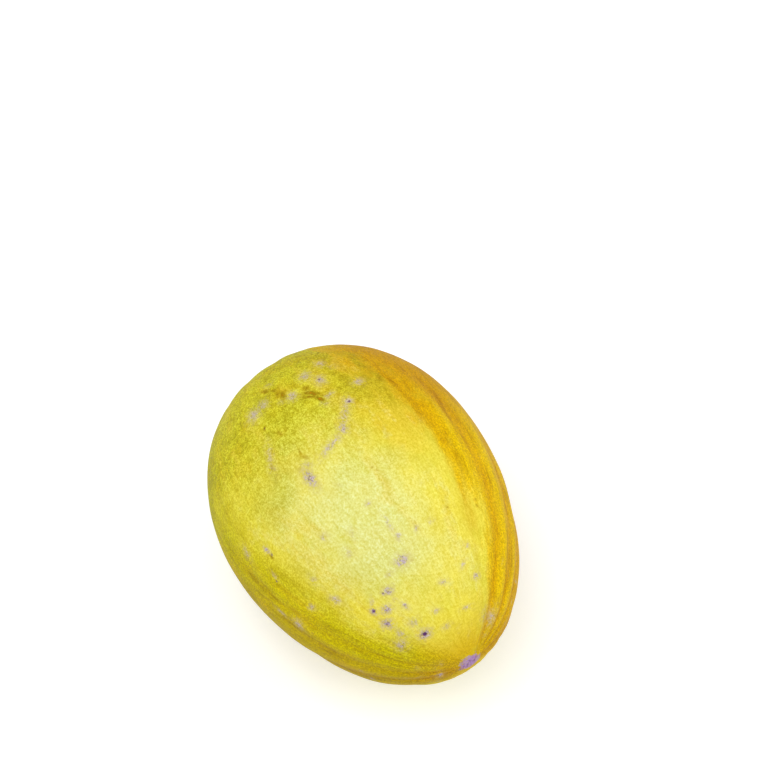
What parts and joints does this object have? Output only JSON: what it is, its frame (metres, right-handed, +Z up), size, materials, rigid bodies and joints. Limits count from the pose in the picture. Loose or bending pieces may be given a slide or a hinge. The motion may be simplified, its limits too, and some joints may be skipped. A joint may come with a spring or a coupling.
{
  "type": "canary melon",
  "caption": "Ripe whole canary melon lying on its side: an egg-shaped yellow fruit with lengthwise furrows, a corky blossom scar and a short dry stub of stem.",
  "frame": {"origin": "on the plane that the melon lies on, under the middle of the whole object's box", "axes": "+Z up; the fruit's long axis is level and runs along X, with the blossom end towards +X and the stem end towards -X"},
  "size_m": [0.2198, 0.1566, 0.1545],
  "materials": {
    "rind": "smooth, firm, waxy yellow rind with a satin gloss, fine lengthwise wrinkles and small corky mauve-grey scuffs",
    "dry_stem": "dry, fibrous grey-brown plant stem, cut square and matte"
  },
  "bodies": {
    "root": {"melon_fruit": "rind", "stem_stub": "dry_stem"}
  },
  "joints": []
}
